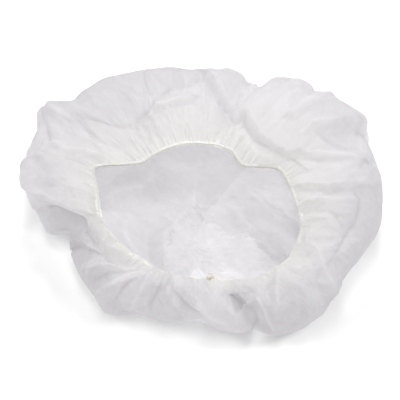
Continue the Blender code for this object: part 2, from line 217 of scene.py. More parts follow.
# The main folds. Each runs through places on the cloth, in degrees and landmarks. half_width and rise
# are shares of the cap's height, and a rise below 0 presses the cloth in. A lean from -1 to 1 makes one
# flank steep: above 0 the right one, seen along the fold from outside.
LEAN_STRENGTH = 0.7
FOLD_SHARPNESS = 1.1
Fold = namedtuple("Fold", "places half_width rise lean", defaults=(0.0,))
FOLDS = [Fold(*row) for row in (
    # The long crease across the back, the lobe that overhangs it, and its tail along the right side
    (
        ((85, 2.76), (79, 2.92), (70, 2.99), (65, 3.26), (59, 3.60), (50, 3.66), (42, 3.72), (31, 3.84)),
        0.070, -0.078, -0.4,
    ),
    (
        ((84, 2.70), (78, 2.87), (70, 2.94), (64, 3.22), (58, 3.55), (49, 3.61), (41, 3.67), (32, 3.80)),
        0.17, 0.058, 0.85,
    ),
    (((30, 3.84), (22, 3.42), (18, 2.92)), 0.08, -0.035),
    (((33, 3.72), (24, 3.30), (18, 2.76)), 0.13, 0.055, 0.5),
    # The lobe at the back's right
    (((45, 3.16), (42, 2.56)), 0.11, 0.050, 0.4),
    (((31, 3.28), (25, 2.84)), 0.24, -0.075),
    (((35, 3.40), (37, 3.16), (33, 2.92)), 0.09, 0.035),
    (((50, 2.10), (54, 2.70)), 0.10, 0.040),
    (((32, 2.10), (32, 2.50)), 0.06, 0.012),
    (((35, 2.16), (31, 2.08), (20, 2.16)), 0.14, -0.036),
    (((28, 2.10), (28, 2.50)), 0.06, -0.030),
    # The right side, which streaks run down from the mouth
    (((16, 3.92), (10, 3.40), (10, 2.48)), 0.09, 0.045, 0.5),
    (((12, 3.90), (7, 3.35), (7, 2.80)), 0.07, -0.035),
    (((7, 3.95), (4, 3.26), (4, 2.70)), 0.06, 0.032),
    (((1, 3.90), (358, 3.30), (352, 2.80)), 0.07, -0.030, 0.3),
    (((6, 2.72), (354, 2.66), (335, 2.70)), 0.30, -0.060),
    (((345, 3.70), (338, 3.00), (330, 2.40)), 0.14, 0.040, 0.4),
    (((328, 2.06), (336, 1.94), (352, 1.84)), 0.32, -0.056),
    # The back's outline, with a flat notch between the brow and the lobe
    (((112, 2.28), (97, 2.24), (86, 2.28)), 0.26, -0.012),
    (((79, 2.28), (74, 2.28)), 0.10, 0.030),
    (((68, 1.95), (68, 2.60)), 0.10, 0.055),
    # The band behind the mouth, and the brow's left
    (((113, 3.08), (102, 3.14), (92, 3.06)), 0.08, 0.045, 0.4),
    (((106, 2.90), (100, 2.88)), 0.16, -0.060),
    (((115, 3.02), (122, 3.00), (128, 3.48), (128, 3.82)), 0.11, -0.045, -0.4),
    (((140, 3.02), (130, 3.26)), 0.26, -0.080),
    (((142, 3.10), (146, 3.50), (150, 3.88)), 0.10, -0.060, 0.5),
    (((152, 3.62), (146, 3.94)), 0.12, 0.040),
    (((134, 2.25), (145, 2.25)), 0.12, -0.035),
    (((141, 2.50), (142, 2.85)), 0.07, 0.045),
    (((147, 2.40), (153, 2.78)), 0.06, -0.050),
    (((153, 2.72), (154, 3.20), (152, 3.55)), 0.08, 0.040, 0.4),
    # The left lobe's lower edge and the hollow under it
    (((169, 2.35), (173, 2.66), (177, 3.00), (184, 3.08), (190, 3.26)), 0.17, 0.085, 0.7),
    (((164, 1.90), (163, 2.50)), 0.05, 0.030, 0.3),
    (((158, 2.00), (158, 2.45)), 0.06, -0.040),
    (((172, 1.98), (178, 2.56), (183, 2.84), (188, 2.96), (194, 3.20)), 0.15, -0.130, -0.6),
    (((174, 1.22), (179, 1.58), (184, 2.02)), 0.12, -0.095),
    # The lower left lobe, with folds that fan out from one place on the mouth
    (((193, 2.26), (203, 2.80), (213, 3.30), (222, 3.86)), 0.15, -0.110, -0.5),
    (((224, 3.95), (213, 3.00), (202, 2.24)), 0.07, 0.040, 0.4),
    (((226, 3.90), (219, 3.00), (211, 2.30)), 0.06, -0.030),
    (((227, 3.92), (224, 2.96), (218, 2.36)), 0.07, 0.040, -0.4),
    (((231, 3.86), (229, 2.90), (225, 2.20)), 0.06, -0.035),
    (((234, 3.90), (236, 2.70), (232, 2.06)), 0.08, 0.040, 0.3),
    (((246, 3.60), (246, 2.80), (243, 2.20)), 0.10, -0.035),
    # The front: a light flap, the dark valley beside it and a small facet
    (((254, 3.20), (268, 2.70), (280, 2.48), (292, 2.22), (299, 2.00)), 0.18, 0.080, -0.3),
    (((253, 2.90), (264, 2.40), (278, 1.98)), 0.10, -0.045, 0.5),
    (((284, 3.50), (289, 2.94), (296, 2.56), (302, 2.06)), 0.15, -0.125, 0.6),
    (((298, 2.32), (305, 2.80), (306, 2.38), (308, 2.00)), 0.08, 0.045),
    (((324, 3.84), (313, 2.96), (308, 2.50)), 0.09, 0.045, 0.4),
    (((318, 3.80), (309, 3.10)), 0.09, -0.040),
    # The crown, whose cloth stands up off the floor inside the mouth
    ((*CROWN_RIDGE, (355, 0.52)), 0.26, -0.200, 0.6),
    (((94, 0.30), (145, 0.16), (198, 0.34)), 0.26, -0.180, -0.6),
    (((62, 0.44), (26, 0.36), (356, 0.52)), 0.09, -0.070),
    (((52, 0.62), (28, 0.58), (11, 0.70)), 0.09, -0.065),
    (((90, 0.62), (93, 0.30)), 0.12, -0.070),
    (((150, 0.74), (128, 0.66), (112, 0.72)), 0.10, -0.070),
    (((160, 0.55), (200, 0.62)), 0.12, -0.060),
)]

# Patches of painted light and shade, in places also where the cloth lies doubled, with corners in
# degrees and landmarks, and how much whiter than the rest, or greyer below 1, each one is painted
PaintedPatch = namedtuple("PaintedPatch", "corners tint")
PAINTED_LIGHT_PATCHES = [PaintedPatch(*row) for row in (
    # The crown's facet, painted lighter, as where light falls on it
    (CROWN_FACET, 1.06),
    # Painted shade on the crown beside that facet, on the ridge's other side
    ((*CROWN_RIDGE, (345, 0.62), (338, 0.90), (5, 0.92), (35, 0.62), (70, 0.50)), 0.94),
    # Painted light on the front's flap and on the small facet beside the valley
    (((254, 3.20), (268, 2.72), (284, 2.42), (299, 2.04), (284, 1.70), (268, 1.90), (256, 2.50)), 1.05),
    (((298, 2.34), (306, 2.80), (307, 2.38), (308, 2.00), (302, 1.90)), 1.05),
    # Painted light on the overhanging lobe at the back's right, and painted shade beside it
    (
        ((84, 2.70), (70, 2.97), (60, 3.52), (50, 3.60), (42, 3.58), (50, 2.90), (62, 2.62), (74, 2.46)),
        1.03,
    ),
    (((44, 3.40), (31, 3.70), (24, 3.20), (22, 2.60), (32, 2.40), (40, 2.60), (42, 3.00)), 0.955),
    # Painted shade on the back's middle, which turns away from the light
    (((112, 2.90), (104, 2.96), (92, 2.90), (85, 2.70), (90, 2.40), (100, 2.36), (109, 2.46)), 0.935),
    # Beside the mouth, painted light on two patches; painted shade on the lower left lobe and on the
    # hollow under the left lobe
    (((30, 3.95), (16, 3.98), (10, 3.40), (14, 2.70), (24, 3.00), (30, 3.60)), 1.03),
    (((148, 3.60), (146, 3.94), (136, 3.94), (130, 3.50), (138, 3.20)), 1.03),
    (((224, 3.95), (210, 3.30), (202, 2.30), (214, 2.20), (222, 2.90), (226, 3.60)), 0.96),
    (((174, 2.20), (179, 2.62), (185, 2.80), (193, 3.10), (196, 2.60), (188, 2.00)), 0.94),
    # Painted shade in the front's dark valley, darkest at its deepest end beside the flap
    (((282, 3.60), (291, 3.66), (297, 2.76), (300, 2.44), (296, 2.37), (292, 2.48), (287, 2.70)), 0.945),
    (((289, 2.96), (297, 2.76), (300, 2.44), (296, 2.37), (292, 2.48)), 0.87),
)]

# Puckers that the elastic draws in: how many go round, and how far they reach from the mouth, in
# landmarks, and how high they stand at most. The ranges are shares of their widths, heights and lengths.
Pucker = namedtuple("Pucker", "count reach height seed")
PUCKERS = (
    Pucker(128, 0.40, 0.0013, 3),
    Pucker(61, 0.75, 0.0014, 5),
    Pucker(29, 1.20, 0.0018, 8),
)
PUCKER_WIDTHS = (0.6, 1.4)
PUCKER_HEIGHTS = (0.45, 1.0)
PUCKER_LENGTHS = (0.5, 1.0)
PUCKER_WANDER = 0.05
PUCKER_ROUNDNESS = 0.8
PUCKER_FADE = 1.5

# Soft lobes: their width, how much longer than wide they are, and how high they stand
Lobe = namedtuple("Lobe", "width stretch height seed")
LOBES = (
    Lobe(0.034, 1.8, 0.0024, 11),
    Lobe(0.0085, 3.0, 0.0009, 13),
)
# How far out they stop growing wider, how much they wander over how many widths, and their middle level
LOBE_REACH = 0.105
LOBE_WANDER = 0.45
LOBE_WANDER_WIDTHS = 2.2
LOBE_LEVEL = 0.30

# Sharp-edged facets of the crumpled cloth: how many there are, how much longer than wide they are, how
# steeply they tilt, how much they are dished, and 1 where they meet in ridges, -1 in valleys
Facets = namedtuple("Facets", "count stretch tilt dish way seed")
FACETS = (
    Facets(60, 1.5, 0.16, 0.16, 1, 14),
    Facets(200, 1.9, 0.20, 0.20, -1, 15),
    Facets(700, 2.2, 0.16, 0.16, 1, 16),
)
FACET_TURN = 0.5
FACET_TILT_SPREAD = 1.5
FACET_LEAST_SHARE = 0.002
FACET_LIMITS = (0.02, 3.97)

# Short straight creases: how many, where they start, how far they turn from the way to the mouth, their
# lengths, half widths and rises, how sharp they are, and between which landmarks they stay
CREASES = 220
CREASE_SEED = 21
CREASE_STARTS = (0.15, 3.75)
CREASE_TURN = 0.75
CREASE_LENGTHS = (0.014, 0.052)
CREASE_HALF_WIDTHS = (0.0035, 0.009)
CREASE_RISES = (0.0006, 0.0020)
CREASE_SHARPNESS = 1.2
CREASE_LIMITS = (0.05, 3.9)

# Where the crumple is calmed: over the last stretch before the mouth; near the outline that the camera
# sees, which lies lower at the front than at the back; and near the long crease
MOUTH_CALM = 0.30
OUTLINE_PLACE = 2.0
OUTLINE_TILT = 0.28
OUTLINE_REACH = 0.40
OUTLINE_CALM = 0.85
LONG_CREASE_REACH = 0.018
LONG_CREASE_CALM = 0.8
LEAST_HEIGHT = 0.0001

# Fine lines painted along the folds: their half width, how short their ends taper, how much paler a
# ridge is, as painted highlight and partly doubled cloth, and how much greyer a crease is, as painted
# shade
LINE_WIDTH = 0.0015
LINE_END = 0.02
RIDGE_PAINTED_HIGHLIGHT = 0.08
CREASE_PAINTED_SHADE = 0.12

# Painted shade makes the crown this much greyer, and painted light makes the cloth behind its middle
# this much whiter, up to its widest place. Both fade out over landmarks, and BACK_BEGINS is how far
# behind the middle.
FLAT_PAINTED_SHADE = 0.045
FLAT_FADE = (0.85, 1.25)
BACK_PAINTED_LIGHT = 0.11
BACK_FADE = (1.90, 2.30)
BACK_BEGINS = (0.15, 0.80)

# Streaks that run to the mouth: how far out they stop growing wider, and their stretch
STREAK_REACH = 0.12
STREAK_STRETCH = 7

# Faint straight-edged plies: how many to a metre, and how grey and how white they are
PLIES = ((15, 0.955, 1.03), (43, 0.97, 1.02))

# Fine creases in the material: how many to a metre, how far they wander and how deep they are
FINE_CREASES = ((34, 0.006, 0.00045), (80, 0.003, 0.00022))

# How much of the light comes through, from the thinnest places to the thickest; and the cream that the
# cloth takes on near the hem, over this stretch of its flat radius
THROUGH_SHARE = (0.72, 0.60)
CREAM = (0.945, 0.935, 0.915)
CREAM_REACH = (0.180, 0.218)
BLACK = (0, 0, 0)
WHITE = (1, 1, 1)

# Hem, elastic and thread: two close tints, roughness, fibres to a metre and how far light spreads
Finish = namedtuple("Finish", "name dark light roughness fibres glow")
HEM_CLOTH = Finish("hem_cloth", (0.90, 0.895, 0.865), (0.95, 0.945, 0.92), 0.7, 2200, 0.8)
ELASTIC_COVER = Finish("elastic_cover", (0.78, 0.765, 0.68), (0.86, 0.845, 0.77), 0.55, 3500, 0.6)
STITCHING = Finish("stitch_thread", (0.90, 0.895, 0.86), (0.95, 0.945, 0.92), 0.6, 5000, 0.6)
KNOT_COVER = Finish("knot_cover", (0.58, 0.55, 0.45), (0.68, 0.65, 0.55), 0.55, 3500, 0.4)

# Soft lamps that face the cap, with powers in watts; the floor's own faint light, which keeps it white;
# and how strong the light from all round is
Lamp = namedtuple("Lamp", "name place size power")
LAMPS = (
    Lamp("top", (0.00, 0.02, 1.25), 0.30, 2.8),
    Lamp("back", (0.00, 0.80, 0.96), 0.40, 4.8),
    Lamp("front", (0.00, -0.38, 1.18), 0.50, 3.0),
    Lamp("left", (-0.80, 0.00, 0.96), 0.40, 3.5),
    Lamp("right", (0.80, 0.00, 0.96), 0.40, 4.2),
)
LAMP_TARGET = (0, 0, 0.04)
FLOOR_GLOW = 0.10
SKY = 0.21
FLOOR_WIDTH = 6.0

# The photo's angle: the camera's height over the floor in degrees, its lens and sensor in millimetres,
# what it looks at and how wide the view is there
CAMERA_ELEVATION = 60
LENS = 115
SENSOR = 36
VIEW_MIDDLE = (0, -0.0017, 0.034)
VIEW_WIDTH = 0.3085


def unit(vectors):
    return vectors / np.linalg.norm(vectors, axis=-1, keepdims=True)


def round_places(angle, radius, height):
    """Places round the crown's middle, for patterns that go round the cap without a seam."""
    height = np.broadcast_to(height, angle.shape)
    return np.stack([radius * np.cos(angle), radius * np.sin(angle), height], axis=-1)


def place_angles(rows, width, depth, middle):
    """Angles and distances of a table's places, seen from the mouth's axis."""
    places = np.array([[row.x * width / 2, row.y * depth / 2] for row in rows]) + middle
    away = places - MOUTH_MIDDLE
    return np.unwrap(np.arctan2(away[:, 1], away[:, 0])), np.hypot(away[:, 0], away[:, 1])


def ring_of(angles, values, softening):
    """A table's values at each whole degree, in straight steps that are then softened."""
    turn = 2 * math.pi
    wanted = (np.radians(np.arange(360)) - angles[0]) % turn
    ring = np.interp(wanted, np.append(angles - angles[0], turn), np.append(values, values[0]))
    for _ in range(softening):
        ring = (np.roll(ring, 1) + 2 * ring + np.roll(ring, -1)) / 4
    return ring


def read_ring(ring, angle):
    return np.interp(np.degrees(angle), np.arange(360), ring, period=360)


def make_landmarks():
    """Every landmark's distance from the mouth's axis and height, at each whole degree."""
    angles, reaches = place_angles(SECTIONS, CAP_WIDTH, CAP_DEPTH, (0, 0))
    out = ring_of(angles, reaches, OUTLINE_SOFTENING)
    widest = ring_of(angles, [row.widest for row in SECTIONS], HEIGHT_SOFTENING) * CAP_HEIGHT
    crest = ring_of(angles, [row.crest for row in SECTIONS], HEIGHT_SOFTENING) * CAP_HEIGHT
    share = ring_of(angles, [row.brow for row in SECTIONS], HEIGHT_SOFTENING)
    foot = ring_of(angles, reaches, FOOT_SOFTENING) - CURL * widest
    foot = np.minimum(foot, out - LEAST_CURL * widest)
    angles, reaches = place_angles(MOUTH, MOUTH_WIDTH, MOUTH_DEPTH, MOUTH_MIDDLE)
    edge = ring_of(angles, reaches, MOUTH_SOFTENING) + HEM_WIDTH / 2 + SEAT_GAP
    lip = ring_of(angles, [row.height for row in MOUTH], MOUTH_SOFTENING) * MOUTH_HEIGHT
    brow = edge + share * (out - edge)
    return foot, out, widest, brow, crest, edge, lip


LANDMARKS = make_landmarks()


def cloth_point(angle, along):
    """The cloth before it is folded: floor, two quarter ellipses and a top that dips to the mouth."""
    foot, out, widest, brow, crest, edge, lip = (read_ring(ring, angle) for ring in LANDMARKS)
    low = np.clip(along - 1, 0, 1) * math.pi / 2
    high = np.clip(along - 2, 0, 1) * math.pi / 2
    top = np.clip(along - 3, 0, 1)
    stretches = (along <= 1, along <= 2, along <= 3)
    distance = np.select(
        stretches,
        (foot * along, foot + (out - foot) * np.sin(low), brow + (out - brow) * np.cos(high)),
        brow + (edge - brow) * top,
    )
    height = np.select(
        stretches,
        (0 * along, widest * (1 - np.cos(low)), widest + (crest - widest) * np.sin(high)),
        crest + (lip - crest) * top**2,
    )
    x = MOUTH_MIDDLE[0] + distance * np.cos(angle)
    y = MOUTH_MIDDLE[1] + distance * np.sin(angle)
    return np.stack([x, y, height], axis=-1)


def cloth_normal(angle, along, reach=0.03):
    """The way the unfolded cloth faces outwards, judged over a reach to each side."""
    round_it = cloth_point(angle + reach, along) - cloth_point(angle - reach, along)
    up_it = cloth_point(angle, np.minimum(along + reach, EDGE)) - cloth_point(angle, along - reach)
    return unit(np.cross(round_it, up_it))


def cloth_steps(angle, along, nudge):
    """How far the unfolded cloth runs round the cap and up it, over a small nudge each way."""
    here = cloth_point(angle, along)
    return cloth_point(angle + nudge, along) - here, cloth_point(angle, along + nudge) - here


def noise(points, seed):
    """Smooth random values, mostly between -1 and 1, with features about one unit wide."""
    count = 256
    gain = 1.7
    random = np.random.default_rng(seed)
    order = random.permutation(count)
    slopes = unit(random.normal(size=(count, 3)))
    cell = np.floor(points).astype(int)
    inside = points - cell
    ease = inside**3 * (inside * (inside * 6 - 15) + 10)
    total = np.zeros(points.shape[:-1])
    for corner in np.ndindex(2, 2, 2):
        near = (cell + corner) % count
        pick = order[(order[near[..., 0]] + near[..., 1]) % count]
        pick = order[(pick + near[..., 2]) % count]
        share = np.prod(np.where(np.array(corner) == 1, ease, 1 - ease), axis=-1)
        total += share * (slopes[pick] * (inside - corner)).sum(axis=-1)
    return total * gain


def line_distance(points, normals, line):
    """How far points are from a bent line, on which side (1 right, -1 left) and how far along it."""
    run = line[1:] - line[:-1]
    nearest = np.full(points.shape[:-1], np.inf)
    side = np.zeros(points.shape[:-1])
    travel = np.zeros(points.shape[:-1])
    for index, (start, step) in enumerate(zip(line[:-1], run)):
        away = points - start
        share = np.clip((away * step).sum(axis=-1) / (step * step).sum(), 0, 1)
        off = away - share[..., None] * step
        distance = np.linalg.norm(off, axis=-1)
        closer = distance < nearest
        nearest = np.where(closer, distance, nearest)
        side = np.where(closer, (np.cross(normals, off) * step).sum(axis=-1), side)
        travel = np.where(closer, (index + share) / len(run), travel)
    return nearest, np.sign(side), travel


def fold_line(fold):
    """A fold's line on the smooth cloth, with three points between each two of its places."""
    places = np.array(fold.places, dtype=float)
    step = np.linspace(0, len(places) - 1, 4 * len(places) - 3)
    angle = np.interp(step, np.arange(len(places)), np.unwrap(np.radians(places[:, 0])))
    along = np.interp(step, np.arange(len(places)), places[:, 1])
    return cloth_point(angle, along)


def fold_lift(points, normals, fold):
    """How far a fold moves each point: a sharp edge between two nearly flat flanks."""
    distance, side, _ = line_distance(points, normals, fold_line(fold))
    width = fold.half_width * CAP_HEIGHT * (1 - side * fold.lean * LEAN_STRENGTH)
    fade = np.clip(1 - distance / width, 0, 1)
    return fold.rise * CAP_HEIGHT * fade**FOLD_SHARPNESS


def inside_patch(angle, along, corners):
    """Which points lie inside a patch, by counting its edges to one side of each point."""
    x, y = along * np.cos(angle), along * np.sin(angle)
    turns, runs = np.array(corners, dtype=float).T
    turns = np.radians(turns)
    corner_x, corner_y = runs * np.cos(turns), runs * np.sin(turns)
    tiny = 1e-12
    inside = np.zeros(angle.shape, dtype=bool)
    for x0, y0, x1, y1 in zip(corner_x, corner_y, np.roll(corner_x, 1), np.roll(corner_y, 1)):
        crosses = (y0 > y) != (y1 > y)
        inside ^= crosses & (x < x0 + (y - y0) * (x1 - x0) / (y1 - y0 + tiny))
    return inside


def painted_light_and_shade(angle, along):
    """Painted light and shade at each point: whiter on lit patches and along ridges, where partly the
    cloth is doubled, greyer on shaded patches and in creases.
    """
    points = cloth_point(angle, along)
    normals = cloth_normal(angle, along)
    ridge_highlight = np.zeros(angle.shape)
    crease_shade = np.zeros(angle.shape)
    # Painted highlight along ridges and the crown's folds, partly doubled cloth, and painted shade along
    # creases
    for fold in FOLDS:
        distance, _, travel = line_distance(points, normals, fold_line(fold))
        taper = np.sqrt(np.sin(math.pi * travel.clip(LINE_END, 1 - LINE_END)))
        line = np.exp(-((distance / LINE_WIDTH) ** 2)) * taper
        in_crown = max(place[1] for place in fold.places) < 1
        if fold.rise > 0 or in_crown:
            ridge_highlight = np.maximum(ridge_highlight, line)
        else:
            crease_shade = np.maximum(crease_shade, line)
    painted_shading = (1 + RIDGE_PAINTED_HIGHLIGHT * ridge_highlight) * (1 - CREASE_PAINTED_SHADE * crease_shade)
    # Painted shade on the crown, and painted light on the wall behind the mouth
    back = np.interp(along * np.sin(angle), BACK_BEGINS, (0, 1))
    painted_shading *= 1 - FLAT_PAINTED_SHADE * (1 - back) * np.interp(along, FLAT_FADE, (1, 0))
    painted_shading *= 1 + BACK_PAINTED_LIGHT * back * np.interp(along, BACK_FADE, (1, 0))
    # Painted light and shade on the patches
    for painted_patch in PAINTED_LIGHT_PATCHES:
        painted_shading = np.where(inside_patch(angle, along, painted_patch.corners), painted_shading * painted_patch.tint, painted_shading)
    return painted_shading


def crease_lift(points, normals):
    """Many short straight creases, some pressed in and some standing out."""
    random = np.random.default_rng(CREASE_SEED)
    nudge = 0.02
    step = np.linspace(0, 1, 4)
    up = np.zeros(points.shape[:-1])
    down = np.zeros(points.shape[:-1])
    for _ in range(CREASES):
        start_along = random.uniform(*CREASE_STARTS)
        start_angle = random.uniform(0, 2 * math.pi)
        heading = random.normal(0, CREASE_TURN)
        length = random.uniform(*CREASE_LENGTHS)
        half_width = random.uniform(*CREASE_HALF_WIDTHS)
        rise = random.uniform(*CREASE_RISES) * random.choice((-1, 1))
        round_it, up_it = cloth_steps(np.array(start_angle), np.array(start_along), nudge)
        angle_step = nudge * length * math.sin(heading) / np.linalg.norm(round_it)
        along_step = nudge * length * math.cos(heading) / np.linalg.norm(up_it)
        line_along = np.clip(start_along + along_step * step, *CREASE_LIMITS)
        line = cloth_point(start_angle + angle_step * step, line_along)
        near = np.linalg.norm(points - line.mean(axis=0), axis=-1) < length / 2 + half_width
        distance, _, _ = line_distance(points[near], normals[near], line)
        lift = rise * np.clip(1 - distance / half_width, 0, 1) ** CREASE_SHARPNESS
        up[near] = np.maximum(up[near], lift)
        down[near] = np.minimum(down[near], lift)
    return up + down


def lobe_lift(angle, reach):
    """Long soft lobes with valleys between them, which run mostly from the mouth outwards."""
    total = np.zeros(angle.shape)
    for lobe in LOBES:
        places = round_places(angle, np.minimum(reach, LOBE_REACH), reach / lobe.stretch)
        bend = noise(places / (lobe.width * LOBE_WANDER_WIDTHS), lobe.seed + 40)
        places = places / lobe.width + bend[..., None] * LOBE_WANDER
        total += lobe.height * (np.abs(noise(places, lobe.seed)) - LOBE_LEVEL)
    return total


def facet_lift(points, facets):
    """Tilted dishes that meet in sharp, nearly straight edges, as in crumpled paper."""
    random = np.random.default_rng(facets.seed)
    reach = flat_reach(FINE_RUN)
    size = reach[-1] * math.sqrt(math.pi / facets.count)
    reaches = reach[-1] * np.sqrt(random.uniform(FACET_LEAST_SHARE, 1, facets.count))
    along = np.interp(reaches, reach, FINE_RUN).clip(*FACET_LIMITS)
    angle = random.uniform(0, 2 * math.pi, facets.count)
    middles = cloth_point(angle, along)
    round_it, up_it = map(unit, cloth_steps(angle, along, 0.01))
    turn = random.normal(0, FACET_TURN, facets.count)[:, None]
    sides = round_it * np.cos(turn) + up_it * np.sin(turn)
    ups = up_it * np.cos(turn) - round_it * np.sin(turn)
    tilts = random.uniform(-FACET_TILT_SPREAD, FACET_TILT_SPREAD, (facets.count, 2)) * facets.tilt
    height = np.full(points.shape[:-1], facets.dish * size * 2)
    for middle, side, up, tilt in zip(middles, sides, ups, tilts):
        near = np.abs(points - middle).max(axis=-1) < size * 2 * facets.stretch
        away = points[near] - middle
        places = np.stack([away @ side, away @ up / facets.stretch], axis=-1)
        flat = places[:, 0] ** 2 + (places[:, 1] * facets.stretch) ** 2
        deep = np.linalg.norm(away, axis=-1) ** 2 - flat
        bowl = ((places**2).sum(axis=-1) + deep.clip(0, None)) * facets.dish / size
        height[near] = np.minimum(height[near], bowl + places @ tilt)
    return (height - np.median(height)) * facets.way


def pucker_lift(angle, along):
    """Puckers at the mouth, each of its own width, length and height."""
    total = np.zeros(along.shape)
    for pucker in PUCKERS:
        random = np.random.default_rng(pucker.seed)
        widths = random.uniform(*PUCKER_WIDTHS, pucker.count)
        edges = np.concatenate([[0], widths.cumsum()]) / widths.sum() * 2 * math.pi
        heights = random.uniform(*PUCKER_HEIGHTS, pucker.count)
        lengths = random.uniform(*PUCKER_LENGTHS, pucker.count) * pucker.reach
        wander = noise(round_places(angle, 2.5, along * 2.0), pucker.seed + 60) * PUCKER_WANDER
        slant = (angle + wander * np.clip(EDGE - along, 0, 1)) % (2 * math.pi)
        which = np.clip(np.searchsorted(edges, slant, side="right") - 1, 0, pucker.count - 1)
        share = (slant - edges[which]) / (edges[which + 1] - edges[which])
        profile = np.sin(math.pi * share) ** PUCKER_ROUNDNESS
        run = np.clip((EDGE - along) / lengths[which], 0, 1)
        fade = (1 - run) ** PUCKER_FADE
        total += pucker.height * heights[which] * (profile - 0.5) * fade
    return total


def flat_reach(along_values):
    """How far along the cloth each ring lies from the crown's middle, before the cloth is folded."""
    angle = np.radians(np.arange(0, 360, 6))
    line = cloth_point(*np.broadcast_arrays(angle[None], FINE_RUN[:, None]))
    steps = np.linalg.norm(np.diff(line, axis=0), axis=-1).mean(axis=1)
    return np.interp(along_values, FINE_RUN, np.concatenate([[0], steps.cumsum()]))


def cloth_places(angle, along):
    """Where the crumpled cloth is, at each angle and place along its sections."""
    points = cloth_point(angle, along)
    normals = cloth_normal(angle, along)
    reach = flat_reach(along)
    lifts = np.array([fold_lift(points, normals, fold) for fold in FOLDS])
    lift = lifts.clip(0, None).max(axis=0) + lifts.clip(None, 0).min(axis=0)
    calm = np.clip((EDGE - along) / MOUTH_CALM, 0, 1)
    outline = OUTLINE_PLACE + OUTLINE_TILT * np.sin(angle)
    at_outline = 1 - OUTLINE_CALM * np.exp(-(((along - outline) / OUTLINE_REACH) ** 4))
    from_crease, _, _ = line_distance(points, normals, fold_line(FOLDS[0]))
    at_crease = 1 - LONG_CREASE_CALM * np.exp(-((from_crease / LONG_CREASE_REACH) ** 2))
    crumpled = lobe_lift(angle, reach) + crease_lift(points, normals)
    for facets in FACETS:
        crumpled += facet_lift(points, facets)
    lift = (lift + crumpled * at_outline * at_crease) * calm + pucker_lift(angle, along)
    points = points + normals * lift[..., None]
    points[..., 2] = points[..., 2].clip(LEAST_HEIGHT, None)
    return points


def mesh_object(name, points, faces):
    mesh = bpy.data.meshes.new(name)
    mesh.from_pydata([tuple(point) for point in points], [], faces)
    mesh.update()
    mesh.shade_smooth()
    made = bpy.data.objects.new(name, mesh)
    bpy.context.scene.collection.objects.link(made)
    return made


def ring_faces(low, low_count, high, high_count):
    """Faces between two rings of points, of which the upper may have twice as many."""
    faces = []
    for sample in range(low_count):
        beside = (sample + 1) % low_count
        if high_count == low_count:
            faces.append((low + sample, low + beside, high + beside, high + sample))
            continue
        first = high + 2 * sample
        last = high + (2 * sample + 2) % high_count
        faces.append((low + sample, first + 1, first))
        faces.append((low + sample, low + beside, first + 1))
        faces.append((low + beside, last, first + 1))
    return faces


def add_attribute(piece, name, values):
    """Keeps a number or a vector at each point of a piece, for its material to read."""
    kind, field = ("FLOAT_VECTOR", "vector") if values.ndim == 2 else ("FLOAT", "value")
    attribute = piece.data.attributes.new(name, kind, "POINT")
    attribute.data.foreach_set(field, values.astype(np.float32).ravel())


def make_cloth():
    """The crumpled cloth as one skin, which keeps what its material reads at every point."""
    places = []
    faces = []
    first = below = 0
    for start, end, rings, samples in RINGS:
        angle = np.arange(samples) * 2 * math.pi / samples
        for along in np.linspace(start, end, rings, endpoint=end == EDGE):
            places.append((angle, np.full(samples, along)))
            if below:
                faces.extend(ring_faces(first - below, below, first, samples))
            first += samples
            below = samples
    angle, along = np.concatenate(places, axis=1)
    points = cloth_places(angle, along)
    inner = RINGS[0][3]
    points = np.vstack([points, points[:inner].mean(axis=0)])
    for sample in range(inner):
        faces.append((first, (sample + 1) % inner, sample))
    cloth = mesh_object("cloth", points, faces)
    reach = flat_reach(along)
    flat = round_places(angle, reach, 0.0)
    streak = round_places(angle, np.minimum(reach, STREAK_REACH), reach / STREAK_STRETCH)
    add_attribute(cloth, "flat_place", np.vstack([flat, (0, 0, 0)]))
    add_attribute(cloth, "streak_place", np.vstack([streak, (0, 0, 0)]))
    # Painted light and shade at each point, for the material to multiply into the cloth's tint
    add_attribute(cloth, "painted_shading", np.append(painted_light_and_shade(angle, along), 1))
    add_attribute(cloth, "wrinkled", np.append(inside_patch(angle, along, CROWN_FACET), 1))
    return cloth


def tube_faces(count, sides, closed):
    """Faces between outlines in a row, which joins up again or has a cap at each end."""
    faces = []
    for step in range(count if closed else count - 1):
        here = step * sides
        there = (step + 1) % count * sides
        for point in range(sides):
            beside = (point + 1) % sides
            faces.append((here + point, there + point, there + beside, here + beside))
    if not closed:
        faces.append(tuple(range(sides)))
        faces.append(tuple(reversed(range((count - 1) * sides, count * sides))))
    return faces


def tube(name, path, facing, outline, closed):
    """An outline carried along a path; facing says which way its second direction points."""
    heading = np.gradient(path, axis=0)
    if closed:
        heading = np.roll(path, -1, axis=0) - np.roll(path, 1, axis=0)
    heading = unit(heading)
    side = unit(np.cross(facing, heading))
    up = np.cross(heading, side)
    across, rise = outline.T
    points = path[:, None] + side[:, None] * across[None, :, None] + up[:, None] * rise[None, :, None]
    return mesh_object(name, points.reshape(-1, 3), tube_faces(len(path), len(outline), closed))


def round_outline(diameter, sides):
    turn = np.arange(sides) * 2 * math.pi / sides
    return np.stack([np.cos(turn), np.sin(turn)], axis=-1) * diameter / 2


def mouth_frame(angle):
    """Along the hem's middle: its place, the way the cloth runs out into it, and the way it faces."""
    edge = cloth_point(angle, EDGE)
    facing = cloth_normal(angle, np.full(angle.shape, EDGE), reach=0.08)
    run_out = edge - cloth_point(angle, EDGE - 0.1)
    run_out = unit(run_out - (run_out * facing).sum(axis=-1, keepdims=True) * facing)
    middle = edge - facing * WALL / 2 + run_out * (SEAT_GAP + HEM_WIDTH / 2)
    return middle, run_out, facing


